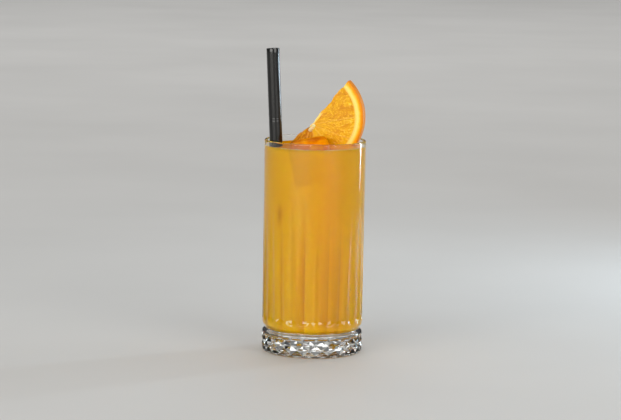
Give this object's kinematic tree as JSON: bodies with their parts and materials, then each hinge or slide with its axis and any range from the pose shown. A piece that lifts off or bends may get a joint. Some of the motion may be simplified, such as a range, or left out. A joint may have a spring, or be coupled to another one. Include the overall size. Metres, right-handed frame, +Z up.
{
  "type": "glass of orange juice",
  "caption": "Tall pressed highball glass with flutes and a diamond-cut foot, full of orange juice, with a half wheel of orange, an ice cube and a black straw.",
  "frame": {"origin": "centre of the ring that the glass stands on, at the bottom", "axes": "+Z up along the axis of the glass; -Y is the side that the cut face of the orange slice looks to; the straw leans to -X"},
  "size_m": [0.0712, 0.0712, 0.2139],
  "materials": {
    "clear_glass": "clear pressed glass, fire polished",
    "juice": "cloudy orange juice",
    "straw": "black glossy plastic",
    "orange": "wet orange flesh with pale pith and an oily rind",
    "ice": "melting ice wet with juice"
  },
  "bodies": {
    "root": {"glass": "clear_glass", "juice": "juice", "straw": "straw", "orange_slice": "orange", "ice_cube": "ice"}
  },
  "joints": []
}
